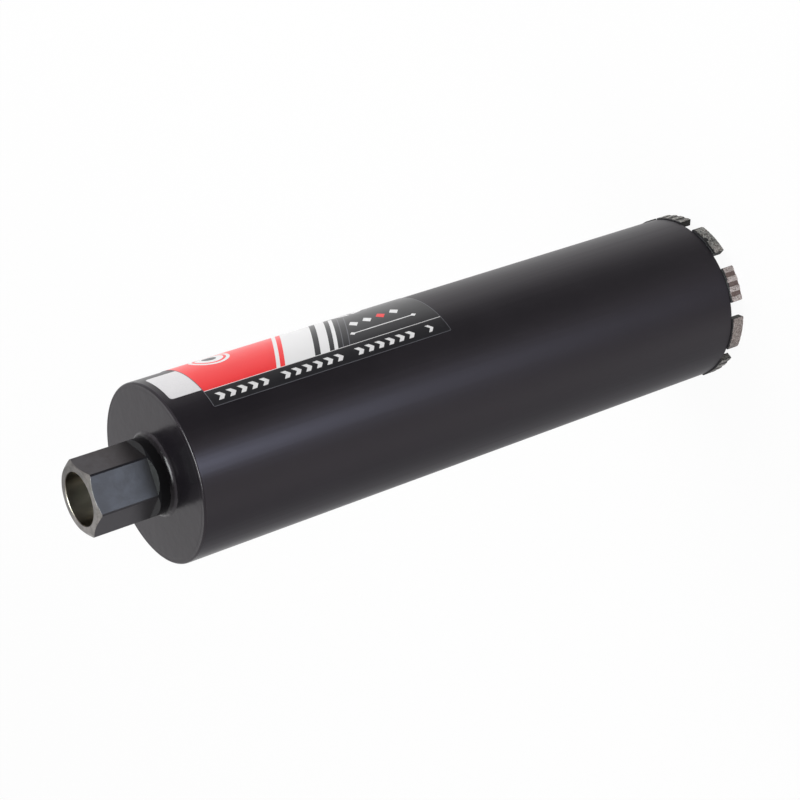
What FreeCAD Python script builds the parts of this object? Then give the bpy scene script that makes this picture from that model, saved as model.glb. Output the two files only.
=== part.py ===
import FreeCAD, Part
import Sketcher
import math
import os

from FreeCAD import Vector

# Diamond core bit, standing on its cutting crown with the machine hub on top.
# The origin is the centre of the plane that the segments cut in, +Z runs up the axis to the hub,
# and the middle of the first segment and one flat of the hub face -Y.
# Lengths are in millimetres and angles in degrees.

DRIVING_SIZES = [
    # Barrel and the plate that closes it
    ("tube_diameter", 110, "outside of the steel tube"),
    ("tube_wall", 2.5, "thickness of the tube wall"),
    ("tube_length", 410, "from the tube rim to the outer face of the end plate"),
    ("edge_round", 1.2, "rounding of the tube edge at the end plate"),
    ("plate_thickness", 6, "thickness of the end plate"),
    ("weld_groove", 1, "leg of the weld groove between tube and plate"),
    ("groove_share", 0.4, "most of the wall that the weld groove may take"),
    ("round_share", 0.5, "most of the wall that the edge rounding may take"),
    ("seat_clearance", 0.05, "radial clearance of the plate in the tube and of the spigot in the plate"),
    # Hub
    ("hub_height", 49.3, "from the plate face to the hub end"),
    ("hub_diameter", 46.6, "round bar that the flats are milled on"),
    ("across_flats", 41, "wrench size of the hub"),
    ("flat_count", 6, "flats round the hub"),
    ("flats_start", 11, "height of the lower end of a flat above the plate face"),
    ("runout_angle", 54.5, "angle of the ramp at the lower end of a flat, from the axis"),
    ("end_face_diameter", 40.4, "flat ring at the hub end, inside the chamfer"),
    ("end_chamfer_angle", 30, "slope of the chamfer at the hub end"),
    ("spigot_diameter", 38, "spigot that sits in the plate"),
    ("counterbore_diameter", 32.4, "smooth mouth of the hub bore"),
    ("counterbore_depth", 16, "depth of the smooth mouth"),
    ("mouth_chamfer", 0.4, "broken edge of the mouth"),
    ("thread_hole_diameter", 28.2, "crest diameter of the 1-1/4 inch thread, 7 turns to the inch"),
    ("thread_lead_in", 1, "broken edge at the inner end of the thread"),
    ("hub_weld_leg", 3, "width of the weld fillet on the plate"),
    ("hub_weld_height", 3.6, "height of the weld fillet up the hub"),
    ("hub_weld_radius", 4.5, "radius of the hollow face of the weld fillet"),
    # Crown
    ("segment_count", 10, "segments round the rim"),
    ("segment_length", 24, "length of a segment along its outer face"),
    ("segment_thickness", 4.5, "radial thickness of a segment"),
    ("segment_height", 10, "height of a segment below the tube rim"),
    ("segment_overhang", 1, "how far a segment stands out past the tube"),
    ("foot_height", 1.4, "plain foot of a segment, above its grooves"),
    ("groove_count", 3, "grooves on one face of a segment"),
    ("groove_width", 2.9, "width of a groove"),
    ("groove_depth", 0.4, "depth of a groove"),
    ("sharp_corner", 0.7, "corner rounding of a segment that is grooved outside"),
    ("soft_corner", 1.6, "corner rounding of a segment that is grooved inside"),
    # Labels, both stuck on the barrel
    ("glue_thickness", 0.1, "layer of glue under a label"),
    ("foil_thickness", 0.15, "thickness of the label foil"),
    ("label_gap", 25.5, "from the plate face to the main label"),
    ("label_length", 170, "length of the main label along the barrel"),
    ("label_width", 100, "width of the main label round the barrel"),
    ("label_edge_angle", -59.7, "place round the barrel of the label's lower edge, from +X"),
    ("label_corner", 1, "corner rounding of the main label"),
    ("sticker_gap", 5, "from the plate face to the small sticker"),
    ("sticker_join", 0.1, "gap between the small sticker and the main label"),
    ("sticker_width", 29, "width of the small sticker round the barrel"),
    ("sticker_edge_angle", -45, "place round the barrel of the sticker's lower edge, from +X"),
    ("sticker_corner", 2.2, "corner rounding of the small sticker"),
    ("cut_margin", 2, "how far a cutting profile reaches past the stock"),
]

# Radii and heights that several pieces share
TUBE_RADIUS = "sizes.tube_diameter / 2"
TUBE_BORE = "(sizes.tube_diameter / 2 - sizes.tube_wall)"
RIM = "sizes.segment_height"
PLATE_FACE = "(sizes.segment_height + sizes.tube_length)"
PLATE_BACK = f"({PLATE_FACE} - sizes.plate_thickness)"
PLATE_RADIUS = f"({TUBE_BORE} - sizes.seat_clearance)"
WELD_GROOVE = "min(sizes.weld_groove; sizes.groove_share * sizes.tube_wall)"
EDGE_ROUND = "min(sizes.edge_round; sizes.round_share * sizes.tube_wall)"
SPIGOT_RADIUS = "sizes.spigot_diameter / 2"
HUB_RADIUS = "sizes.hub_diameter / 2"
HUB_END = f"({PLATE_FACE} + sizes.hub_height)"
FLAT_DISTANCE = "sizes.across_flats / 2"
CROWN_RADIUS = f"({TUBE_RADIUS} + sizes.segment_overhang)"
CROWN_BORE = f"({CROWN_RADIUS} - sizes.segment_thickness)"
FOIL_BACK = f"({TUBE_RADIUS} + sizes.glue_thickness)"
FOIL_FACE = f"({FOIL_BACK} + sizes.foil_thickness)"

FULL_TURN = 360
FIRST_SEGMENT_ANGLE = -90

doc = FreeCAD.newDocument("diamond_core_bit")
sheet = doc.addObject("Spreadsheet::Sheet", "sizes")
for row, (alias, number, meaning) in enumerate(DRIVING_SIZES, start=1):
    sheet.set(f"A{row}", meaning)
    sheet.set(f"B{row}", str(number))
    sheet.setAlias(f"B{row}", alias)
doc.recompute()


def value(expression):
    """Number that an expression on the sheet gives."""
    return float(sheet.evalExpression(expression))


def arc_angle(length, radius):
    """Angle that a length takes up on an arc."""
    return f"({length}) / ({radius}) * {FULL_TURN} / (2 * pi)"


def new_body(label):
    body = doc.addObject("PartDesign::Body", label)
    body.Label = label
    return body


def turn_body(body, angle):
    """Turn a finished body about the barrel axis."""
    body.setExpression("Placement", f"placement(vector(0; 0; 0); rotation(vector(0; 0; 1); {angle}))")


def new_sketch(body, name, role):
    """Sketch on one of the body's own origin planes."""
    sketch = body.newObject("Sketcher::SketchObject", name)
    plane = next(item for item in body.Origin.OriginFeatures if item.Role == role)
    sketch.AttachmentSupport = [(plane, "")]
    sketch.MapMode = "FlatFace"
    return sketch


def near(first, second, tolerance=1e-4):
    return abs(first - second) < tolerance


def place_corner(sketch, side, start, name, across, up):
    """Hold the start of one side of an outline at two distances from the sketch origin."""
    origin = (-1, 1)
    for kind, axis, expression in (("DistanceX", -2, across), ("DistanceY", -1, up)):
        distance = value(expression)
        if near(distance, 0):
            sketch.addConstraint(Sketcher.Constraint("PointOnObject", side, start, axis))
            continue
        index = sketch.addConstraint(Sketcher.Constraint(kind, *origin, side, start, distance))
        constraint_name = f"{name}_{kind[-1].lower()}"
        sketch.renameConstraint(index, constraint_name)
        sketch.setExpression(f"Constraints.{constraint_name}", expression)


def closed_outline(sketch, corners, hollow_after=None, radius=None):
    """Closed outline through named corners, each given by two expressions.

    The side after the corner hollow_after is an arc of the given radius that bends into the outline.
    Corners run anticlockwise, so that arc runs from its own second end to its first.
    """
    points = [Vector(value(across), value(up), 0) for _, across, up in corners]
    ends = []
    for index, (name, _, _) in enumerate(corners):
        start = points[index]
        finish = points[(index + 1) % len(points)]
        if name == hollow_after:
            sketch.addGeometry(hollow_arc(start, finish, value(radius)), False)
            ends.append((2, 1))
        else:
            sketch.addGeometry(Part.LineSegment(start, finish), False)
            ends.append((1, 2))
    for index in range(len(corners)):
        following = (index + 1) % len(corners)
        joint = Sketcher.Constraint("Coincident", index, ends[index][1], following, ends[following][0])
        sketch.addConstraint(joint)
    for index, (name, across, up) in enumerate(corners):
        place_corner(sketch, index, ends[index][0], name, across, up)
        if name == hollow_after:
            bend = sketch.addConstraint(Sketcher.Constraint("Radius", index, value(radius)))
            sketch.renameConstraint(bend, "hollow_radius")
            sketch.setExpression("Constraints.hollow_radius", radius)


def hollow_arc(start, finish, radius):
    """Arc between two corners that bends to the left of the way from start to finish."""
    chord = finish.sub(start)
    middle = start.add(finish).multiply(0.5)
    left = Vector(-chord.y, chord.x, 0).normalize()
    reach = math.sqrt(radius ** 2 - (chord.Length / 2) ** 2)
    deepest = middle.add(left.multiply(radius - reach))
    return Part.Arc(start, deepest, finish)


def revolve(body, sketch, angle=str(FULL_TURN)):
    """Turn a sketch about the barrel axis, to both sides of its plane alike."""
    turned = body.newObject("PartDesign::Revolution", sketch.Name + "_turned")
    turned.Profile = sketch
    turned.ReferenceAxis = (sketch, ["V_Axis"])
    turned.Midplane = True
    turned.setExpression("Angle", angle)
    sketch.Visibility = False
    doc.recompute()
    return turned


def turned_body(label, corners, angle=str(FULL_TURN), **hollow):
    """Body turned from one outline of radii and heights."""
    body = new_body(label)
    sketch = new_sketch(body, label + "_section", "XZ_Plane")
    closed_outline(sketch, corners, **hollow)
    revolve(body, sketch, angle)
    return body


def round_edges(body, name, radius, wanted):
    """Round the edges of the body's last feature that the test picks."""
    base = body.Tip
    edges = [f"Edge{number}" for number, edge in enumerate(base.Shape.Edges, start=1) if wanted(edge)]
    if not edges:
        raise RuntimeError(f"{body.Label}: no edge for {name}")
    fillet = body.newObject("PartDesign::Fillet", name)
    fillet.Base = (base, edges)
    fillet.setExpression("Radius", radius)
    doc.recompute()
    return fillet


def barrel_tube():
    """Tube from the crown to the plate face, with a weld groove inside and a rounded edge outside."""
    body = turned_body("barrel_tube", [
        ("rim_inside", TUBE_BORE, RIM),
        ("rim_outside", TUBE_RADIUS, RIM),
        ("top_outside", TUBE_RADIUS, PLATE_FACE),
        ("groove_top", f"{TUBE_BORE} + {WELD_GROOVE}", PLATE_FACE),
        ("groove_root", TUBE_BORE, f"{PLATE_FACE} - {WELD_GROOVE}"),
    ])
    radius = value(TUBE_RADIUS)
    top = value(PLATE_FACE)
    round_edges(body, "tube_edge_round", EDGE_ROUND, lambda edge: near(edge.BoundBox.ZMin, top)
                and near(edge.BoundBox.XMax, radius))
    return body


def end_plate():
    """Disc seated in the tube, flush with its end, with a hole for the hub's spigot."""
    hole = f"({SPIGOT_RADIUS} + sizes.seat_clearance)"
    return turned_body("end_plate", [
        ("hole_back", hole, PLATE_BACK),
        ("rim_back", PLATE_RADIUS, PLATE_BACK),
        ("groove_root", PLATE_RADIUS, f"{PLATE_FACE} - {WELD_GROOVE}"),
        ("groove_top", f"{PLATE_RADIUS} - {WELD_GROOVE}", PLATE_FACE),
        ("hole_face", hole, PLATE_FACE),
    ])


def plate_weld():
    """Weld metal in the groove between tube and plate, ground flush with both."""
    return turned_body("plate_weld", [
        ("root_inside", PLATE_RADIUS, f"{PLATE_FACE} - {WELD_GROOVE}"),
        ("root_outside", TUBE_BORE, f"{PLATE_FACE} - {WELD_GROOVE}"),
        ("top_outside", f"{TUBE_BORE} + {WELD_GROOVE}", PLATE_FACE),
        ("top_inside", f"{PLATE_RADIUS} - {WELD_GROOVE}", PLATE_FACE),
    ])


def hub():
    """Connector turned from round bar, bored and threaded through, with milled flats."""
    face_radius = "sizes.end_face_diameter / 2"
    mouth_radius = "sizes.counterbore_diameter / 2"
    thread_radius = "sizes.thread_hole_diameter / 2"
    mouth_floor = f"({HUB_END} - sizes.counterbore_depth)"
    body = turned_body("hub", [
        ("thread_back", f"{thread_radius} + sizes.thread_lead_in", PLATE_BACK),
        ("spigot_back", SPIGOT_RADIUS, PLATE_BACK),
        ("spigot_shoulder", SPIGOT_RADIUS, PLATE_FACE),
        ("foot", HUB_RADIUS, PLATE_FACE),
        ("chamfer_low", HUB_RADIUS,
         f"{HUB_END} - ({HUB_RADIUS} - {face_radius}) * tan(sizes.end_chamfer_angle)"),
        ("end_outside", face_radius, HUB_END),
        ("end_inside", f"{mouth_radius} + sizes.mouth_chamfer", HUB_END),
        ("mouth_top", mouth_radius, f"{HUB_END} - sizes.mouth_chamfer"),
        ("mouth_floor", mouth_radius, mouth_floor),
        ("thread_front", thread_radius, f"{mouth_floor} - ({mouth_radius} - {thread_radius})"),
        ("thread_end", thread_radius, f"{PLATE_BACK} + sizes.thread_lead_in"),
    ])
    mill_flats(body)
    return body


def mill_flats(body):
    """Mill one flat with a ramp at its lower end, and repeat it round the hub."""
    beyond = f"({HUB_RADIUS} + sizes.cut_margin)"
    ramp = f"({beyond} - {FLAT_DISTANCE}) / tan(sizes.runout_angle)"
    low = f"({PLATE_FACE} + sizes.flats_start)"
    high = f"{HUB_END} + sizes.cut_margin"
    sketch = new_sketch(body, "flat_cutter", "YZ_Plane")
    closed_outline(sketch, [
        ("flat_low", FLAT_DISTANCE, low),
        ("ramp_low", beyond, f"{low} - {ramp}"),
        ("outside_high", beyond, high),
        ("flat_high", FLAT_DISTANCE, high),
    ])
    blank_volume = body.Tip.Shape.Volume
    cut = body.newObject("PartDesign::Pocket", "flat")
    cut.Profile = sketch
    cut.SideType = "Symmetric"
    cut.setExpression("Length", f"2 * {beyond}")
    sketch.Visibility = False
    doc.recompute()
    repeat_round(body, cut, sketch, "V_Axis", "sizes.flat_count", str(FULL_TURN), "flats")
    if body.Tip.Shape.Volume >= blank_volume:
        raise RuntimeError("the hub flats cut nothing")


def repeat_round(body, feature, sketch, axis, count, angle, name):
    """Repeat a cut about the barrel axis over an angle."""
    pattern = body.newObject("PartDesign::PolarPattern", name)
    pattern.Originals = [feature]
    pattern.Axis = (sketch, [axis])
    pattern.setExpression("Occurrences", count)
    pattern.setExpression("Angle", angle)
    body.Tip = pattern
    doc.recompute()
    return pattern


def hub_weld():
    """Smooth weld fillet with a hollow face, round the hub's foot."""
    return turned_body("hub_weld", [
        ("foot_inside", HUB_RADIUS, PLATE_FACE),
        ("foot_outside", f"{HUB_RADIUS} + sizes.hub_weld_leg", PLATE_FACE),
        ("top", HUB_RADIUS, f"{PLATE_FACE} + sizes.hub_weld_height"),
    ], hollow_after="foot_outside", radius="sizes.hub_weld_radius")


def segment(number):
    """One sintered segment; odd ones are grooved on the outer face and even ones on the inner."""
    grooved_outside = number % 2 == 1
    label = f"segment_{number:02d}"
    body = turned_body(label, [
        ("tip_inside", CROWN_BORE, "0"),
        ("tip_outside", CROWN_RADIUS, "0"),
        ("foot_outside", CROWN_RADIUS, RIM),
        ("foot_inside", CROWN_BORE, RIM),
    ], angle=arc_angle("sizes.segment_length", CROWN_RADIUS))
    corner = "sizes.sharp_corner" if grooved_outside else "sizes.soft_corner"
    thickness = value("sizes.segment_thickness")
    round_edges(body, label + "_corners", corner, lambda edge: near(edge.BoundBox.ZMax, 0)
                and near(edge.Length, thickness) and edge.Curve.TypeId == "Part::GeomLine")
    cut_grooves(body, label, grooved_outside)
    turn_body(body, f"{FIRST_SEGMENT_ANGLE} + {number - 1} * {FULL_TURN} / sizes.segment_count")
    return body


def cut_grooves(body, label, outside):
    """Grooves from the cutting end up to the foot, evenly spaced with a land at each end."""
    inner = f"{CROWN_RADIUS} - sizes.groove_depth" if outside else f"{CROWN_BORE} - sizes.cut_margin"
    outer = f"{CROWN_RADIUS} + sizes.cut_margin" if outside else f"{CROWN_BORE} + sizes.groove_depth"
    half = "sizes.groove_width / 2"
    pitch = "(sizes.segment_length + sizes.groove_width) / (sizes.groove_count + 1)"
    spread = arc_angle(f"(sizes.groove_count - 1) * {pitch}", CROWN_RADIUS)
    sketch = new_sketch(body, label + "_groove", "XY_Plane")
    sketch.setExpression("AttachmentOffset", "placement(vector(0; 0; 0); "
                         f"rotation(vector(0; 0; 1); -{spread} / 2))")
    closed_outline(sketch, [
        ("inner_low", inner, f"-{half}"),
        ("outer_low", outer, f"-{half}"),
        ("outer_high", outer, half),
        ("inner_high", inner, half),
    ])
    plain_volume = body.Tip.Shape.Volume
    cut = body.newObject("PartDesign::Pocket", label + "_first_groove")
    cut.Profile = sketch
    cut.Reversed = True
    cut.setExpression("Length", "sizes.segment_height - sizes.foot_height")
    sketch.Visibility = False
    doc.recompute()
    repeat_round(body, cut, sketch, "N_Axis", "sizes.groove_count", spread, label + "_grooves")
    if body.Tip.Shape.Volume >= plain_volume:
        raise RuntimeError(f"{label}: the grooves cut nothing")


def stuck_label(label, gap, length, width, edge_angle, corner, rounded_above="0"):
    """Foil that lies on the barrel, with its corners above a height rounded."""
    high = f"({PLATE_FACE} - {gap})"
    low = f"({PLATE_FACE} - {gap} - {length})"
    turn = arc_angle(width, FOIL_BACK)
    body = turned_body(label, [
        ("back_low", FOIL_BACK, low),
        ("face_low", FOIL_FACE, low),
        ("face_high", FOIL_FACE, high),
        ("back_high", FOIL_BACK, high),
    ], angle=turn)
    foil = value("sizes.foil_thickness")
    round_edges(body, label + "_corners", corner,
                lambda edge: near(edge.Length, foil) and edge.BoundBox.ZMin > value(rounded_above))
    turn_body(body, f"{edge_angle} + {turn} / 2")
    return body


def main_label():
    return stuck_label("main_label", "sizes.label_gap", "sizes.label_length", "sizes.label_width",
                       "sizes.label_edge_angle", "sizes.label_corner")


def size_sticker():
    """Small sticker, cut square where it meets the main label."""
    length = "(sizes.label_gap - sizes.sticker_gap - sizes.sticker_join)"
    return stuck_label("size_sticker", "sizes.sticker_gap", length, "sizes.sticker_width",
                       "sizes.sticker_edge_angle", "sizes.sticker_corner",
                       rounded_above=f"{PLATE_FACE} - sizes.sticker_gap - {length} / 2")


def check_document(pieces):
    """Stop before anything is written if a feature failed or a piece isn't one valid solid."""
    for item in doc.Objects:
        if "Invalid" in item.State or "Error" in item.State:
            raise RuntimeError(f"{item.Label} failed: {item.State}")
    for piece in pieces:
        shape = piece.Shape
        if shape.isNull() or not shape.isValid() or len(shape.Solids) != 1:
            raise RuntimeError(f"{piece.Label} isn't one valid solid")


pieces = [barrel_tube(), end_plate(), plate_weld(), hub(), hub_weld()]
pieces += [segment(number) for number in range(1, int(value("sizes.segment_count")) + 1)]
pieces += [main_label(), size_sticker()]
doc.recompute()
check_document(pieces)

os.makedirs("parts", exist_ok=True)
for piece in pieces:
    piece.Shape.exportStep(f"parts/{piece.Label}.step")
    print(f"{piece.Label}: {piece.Shape.Volume:.1f} mm3")
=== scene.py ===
import math
from functools import partial

import bmesh
import bpy
from mathutils import Matrix, Vector


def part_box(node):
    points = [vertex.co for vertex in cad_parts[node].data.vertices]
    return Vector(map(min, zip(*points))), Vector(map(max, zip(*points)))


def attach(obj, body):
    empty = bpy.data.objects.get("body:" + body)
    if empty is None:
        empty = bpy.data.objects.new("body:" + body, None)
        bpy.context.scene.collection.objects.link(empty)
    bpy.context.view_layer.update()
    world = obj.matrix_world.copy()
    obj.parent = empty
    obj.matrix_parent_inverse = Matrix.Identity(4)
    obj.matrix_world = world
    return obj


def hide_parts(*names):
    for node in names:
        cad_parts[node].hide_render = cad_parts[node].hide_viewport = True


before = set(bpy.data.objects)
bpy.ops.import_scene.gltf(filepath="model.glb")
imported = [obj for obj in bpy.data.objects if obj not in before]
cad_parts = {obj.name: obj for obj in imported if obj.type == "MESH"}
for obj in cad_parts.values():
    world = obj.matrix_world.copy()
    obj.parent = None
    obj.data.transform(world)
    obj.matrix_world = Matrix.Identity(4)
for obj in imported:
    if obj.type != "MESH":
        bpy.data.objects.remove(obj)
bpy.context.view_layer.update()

# Diamond core bit: the looks of the packed part. Metres, in the frame of the part: the crown stands
# on z = 0, the hub is on top, and the middle of the first segment faces -Y.

bl_info = {
    "name": "Diamond core bit",
    "version": (1, 0, 0),
    "blender": (4, 5, 0),
    "location": "View3D > Sidebar > Core bit",
    "description": "Builds the visible pieces of a diamond core bit round its packed model",
    "category": "Object",
}

MM = 0.001
TUBE_LOW, TUBE_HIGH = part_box("barrel_tube")
HUB_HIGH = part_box("hub")[1]
PLATE_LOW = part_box("end_plate")[0]

IMAGE_SIDE = 800
SENSOR_WIDTH = 36.0
BARREL_MIDDLE = Vector((0, 0, 0.2))

# Places closer than NEAR count as one, and corners closer than DOUBLED are joined
NEAR = 0.01 * MM
DOUBLED = 0.001 * MM
# How far a cutter reaches past what it cuts
CUT_PAST = 2 * MM
THREAD_FLANK = math.radians(30)
THREAD_STEPS = 96

# Directions round the axis, from which a finish takes its shading
FRONT_FLAT = (0, -1, 0)
LABEL_FLAT = (0.866, -0.5, 0)
BORE_LIGHT_STRIPE = (-0.1, 0.995, 0)
SHADED_SECTOR = (0.97, 0.24, 0)
PINK_SIDE = (-0.208, -0.978, 0)
LAST_SEGMENT = (-0.588, -0.809, 0)

# Kinds of shader node with the settings that they are often given
MIX = ("Mix", {"data_type": "RGBA"})
TINT = ("Mix", {"data_type": "RGBA", "blend_type": "MULTIPLY"})
SMOOTH = ("MapRange", {"interpolation_type": "SMOOTHSTEP"})
ALONG = ("VectorMath", {"operation": "DOT_PRODUCT"})
LENGTH = ("VectorMath", {"operation": "LENGTH"})
ABSOLUTE = ("Math", {"operation": "ABSOLUTE"})
MINUS = ("Math", {"operation": "SUBTRACT"})
TIMES = ("Math", {"operation": "MULTIPLY"})
TIMES_PLUS = ("Math", {"operation": "MULTIPLY_ADD"})
MODULO = ("Math", {"operation": "FLOORED_MODULO"})
BELOW = ("Math", {"operation": "LESS_THAN"})
ABOVE = ("Math", {"operation": "GREATER_THAN"})
LARGER = ("Math", {"operation": "MAXIMUM"})

WHITE = (1, 1, 1)

# Cards that show in reflections only: azimuth, elevation, half sizes and distance in metres, middle
# colour and its strength
CARDS = {
    "dark_card": (-36, -25, (1.8, 1.24), 2, "#3A3A3E", 1.0),
    "crown_card": (-96, -50, (1.5, 0.9), 2, "#A9A5AC", 1.0),
    "low_card": (160, -25, (2.2, 1.6), 2, "#BFBFC2", 1.0),
    "band_card": (-95, -14, (0.44, 0.6), 2, "#D6E4F8", 7.4),
    "window_card": (-84, 60, (1.24, 0.44), 2, "#F1FFF6", 30.0),
    "camera_side": (-92, 34, (2.88, 1.68), 2.4, "#050505", 1.0),
}

# Slanted bands of the label print: where each starts, in millimetres along the top of the lower strip,
# and its ink
PRINT_BANDS = [
    (0, "red"), (50, "white"), (52.5, "red"), (56, "white"), (77, "black"), (81, "white"), (88, "black"),
    (91, "white"), (93.5, "black"), (97, "grey"), (98, "black"), (102, "grey"), (102.6, "black"),
]

# Marks of the label print, in millimetres: the kind of shape, its middle along and across the label,
# its half sizes and its ink
PRINT_MARKS = [
    ("disc", (25, 47), (12.5, 12.5), "white"),
    ("disc", (25, 47), (10.3, 10.3), "red"),
    ("disc", (25, 47), (8.6, 8.6), "white"),
    ("disc", (25, 47), (4.4, 4.4), "black"),
    ("disc", (129, 62), (17, 17), "grey"),
    ("disc", (129, 62), (16.5, 16.5), "black"),
    ("disc", (129, 62), (13, 13), "white"),
    ("disc", (129, 62), (9, 9), "black"),
    ("disc", (129, 62), (3, 3), "red"),
    ("box", (129, 62), (16, 0.9), "black"),
    ("box", (129, 62), (0.9, 16), "black"),
    ("diamond", (118, 31), (3.4, 3.4), "white"),
    ("diamond", (128, 31), (3.4, 3.4), "white"),
    ("diamond", (138, 31), (3.4, 3.4), "red"),
    ("diamond", (148, 31), (3.4, 3.4), "white"),
    ("box", (133, 21), (24, 0.35), "white"),
    ("diamond", (110.5, 21), (2.2, 1.5), "white"),
    ("diamond", (155.5, 21), (2.2, 1.5), "white"),
    ("box", (85, 6), (85, 6), "black"),
    ("box", (85, 94), (85, 6), "black"),
    ("box", (85, 12.2), (85, 0.2), "white"),
    ("box", (85, 87.8), (85, 0.2), "white"),
]


def from_hex(code):
    """Linear colour of an sRGB hex value."""
    shares = [int(code[place:place + 2], 16) / 255 for place in (1, 3, 5)]
    return tuple(s / 12.92 if s <= 0.04045 else ((s + 0.055) / 1.055) ** 2.4 for s in shares)


def toward(azimuth, elevation):
    """Direction from two angles in degrees; azimuth 0 is +X and 90 is +Y."""
    round_axis = math.radians(azimuth)
    upward = math.radians(elevation)
    return Vector((math.cos(round_axis) * math.cos(upward), math.sin(round_axis) * math.cos(upward),
                   math.sin(upward)))


def length(name, default, description):
    """Property for a length in metres."""
    return bpy.props.FloatProperty(name=name, description=description, default=default,
                                   min=0, precision=5, unit="LENGTH")


def angle(name, degrees, description):
    """Property for an angle that is written in degrees."""
    return bpy.props.FloatProperty(name=name, description=description,
                                   default=math.radians(degrees), unit="ROTATION")


def colour(name, code, description):
    """Property for a colour that is written as an sRGB hex value."""
    return bpy.props.FloatVectorProperty(name=name, description=description, default=from_hex(code),
                                         size=3, min=0, max=1, subtype="COLOR")


def count(name, default, description, least=1):
    """Property for a whole number."""
    return bpy.props.IntProperty(name=name, description=description, default=default, min=least)


def number(name, default, description, unit="NONE"):
    """Property for a plain number or a power."""
    return bpy.props.FloatProperty(name=name, description=description, default=default, min=0, unit=unit)


class CoreBitBarrel(bpy.types.PropertyGroup):
    """Tube and end plate"""
    # The packed tube is faceted, and only its side on -X has a corner on the true circle
    radius: length("Radius", -TUBE_LOW.x, "Outside of the tube")
    wall: length("Wall", 2.5 * MM, "Thickness of the tube wall")
    rim: length("Rim height", TUBE_LOW.z, "Height of the rim that carries the segments")
    face: length("Face height", TUBE_HIGH.z, "Height of the end plate's outer face")
    edge_round: length("Edge rounding", 1.2 * MM, "Rounding of the tube at the end plate")
    small_round: length("Broken edges", 0.15 * MM, "Rounding of the tube's other edges")
    plate_round: length("Plate edges", 0.1 * MM, "Rounding of the end plate's edges")
    plate_back: length("Plate back", PLATE_LOW.z, "Height of the end plate's inner face")
    seam_leg: length("Seam leg", 1.0 * MM, "Leg of the weld groove between tube and plate")
    seam_sink: length("Seam sink", 0.06 * MM, "Ground seam below the plate's face")
    clearance: length("Clearance", 0.05 * MM, "Gap round the plate and round the hub's spigot")
    steps: count("Steps", 256, "Faces round a turned piece", least=32)


class CoreBitHub(bpy.types.PropertyGroup):
    """Hub, its thread and its weld"""
    bar_radius: length("Bar radius", HUB_HIGH.x, "Round bar that the flats are milled on")
    end: length("End height", HUB_HIGH.z, "Height of the hub's end face")
    flats: count("Flats", 6, "Flats round the hub")
    across_flats: length("Across flats", 41 * MM, "Wrench size")
    flats_start: length("Flats start", 11 * MM, "Lower end of a flat above the plate")
    runout: angle("Runout", 54.5, "Angle of the ramp at the lower end of a flat, from the axis")
    face_radius: length("End face radius", 20.2 * MM, "Flat ring inside the chamfer")
    chamfer: angle("Chamfer", 30, "Slope of the chamfer at the end")
    small_round: length("Broken edges", 0.22 * MM, "Rounding of the hub's edges")
    spigot_radius: length("Spigot radius", 19 * MM, "Spigot in the end plate")
    mouth_radius: length("Mouth radius", 16.2 * MM, "Smooth mouth of the bore")
    mouth_depth: length("Mouth depth", 16 * MM, "Depth of the smooth mouth")
    mouth_chamfer: length("Mouth chamfer", 0.4 * MM, "Broken edge of the mouth")
    crest_radius: length("Thread crests", 14.1 * MM, "Radius of the thread's crests")
    root_radius: length("Thread roots", 15.875 * MM, "Radius of the thread's roots")
    pitch: length("Thread pitch", 25.4 / 7 * MM, "Seven turns to the inch")
    crest_round: length("Crest rounding", 0.12 * MM, "Rounding of the thread's crests")
    weld_leg: length("Weld leg", 3 * MM, "Width of the weld fillet on the plate")
    weld_height: length("Weld height", 3.6 * MM, "Height of the weld fillet up the hub")
    weld_hollow: length("Weld hollow", 4.5 * MM, "Radius of the fillet's hollow face")
    weld_relief: length("Weld relief", 0.22 * MM, "Unevenness of the brushed weld")
    weld_grain: length("Weld grain", 3.5 * MM, "Size of the weld's unevenness")
    steps: count("Steps", 192, "Faces round the hub", least=32)


class CoreBitCrown(bpy.types.PropertyGroup):
    """Ten sintered segments"""
    segments: count("Segments", 10, "Segments round the rim")
    length: length("Length", 24 * MM, "Length of a segment along its outer face")
    thickness: length("Thickness", 4.5 * MM, "Radial thickness of a segment")
    overhang: length("Overhang", 1 * MM, "How far a segment stands out past the tube")
    foot: length("Foot", 1.4 * MM, "Plain foot above the grooves")
    groove_count: count("Grooves", 3, "Grooves on one face")
    groove_width: length("Groove width", 2.9 * MM, "Width of a groove")
    groove_depth: length("Groove depth", 0.4 * MM, "Depth of a groove")
    sharp_corner: length("Sharp corner", 0.7 * MM, "Corner of a segment that is grooved outside")
    soft_corner: length("Soft corner", 1.6 * MM, "Corner of a segment that is grooved inside")
    shoulder: length("Shoulder", 0.6 * MM, "Sloped edge of the foot at the tube")
    voxel: length("Mesh cell", 0.26 * MM, "Cell of the segment's even mesh")
    grit: length("Grit relief", 0.16 * MM, "Depth of the open grain of the sintered metal")
    grain: length("Grain", 1.1 * MM, "Size of the open grain")


class CoreBitLabels(bpy.types.PropertyGroup):
    """Printed label and small sticker"""
    foil: length("Foil", 0.24 * MM, "Thickness of a label with its glue")
    face_radius: length("Foil face", 55.25 * MM, "Radius of a label's outer face")
    back_radius: length("Foil back", 55.1 * MM, "Radius that the label's width is measured on")
    label_gap: length("Label gap", 25.5 * MM, "From the plate face to the label")
    label_length: length("Label length", 170 * MM, "Length along the barrel")
    label_width: length("Label width", 100 * MM, "Width round the barrel")
    label_edge: angle("Label edge", -59.7, "Place of the label's lower edge round the barrel")
    label_corner: length("Label corner", 1 * MM, "Corner rounding of the label")
    sticker_gap: length("Sticker gap", 5 * MM, "From the plate face to the sticker")
    sticker_join: length("Sticker join", 0.1 * MM, "Between the sticker and the label")
    sticker_width: length("Sticker width", 29 * MM, "Width round the barrel")
    sticker_edge: angle("Sticker edge", -45, "Place of the sticker's lower edge round the barrel")
    sticker_corner: length("Sticker corner", 2.2 * MM, "Corner rounding of the sticker")


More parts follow.
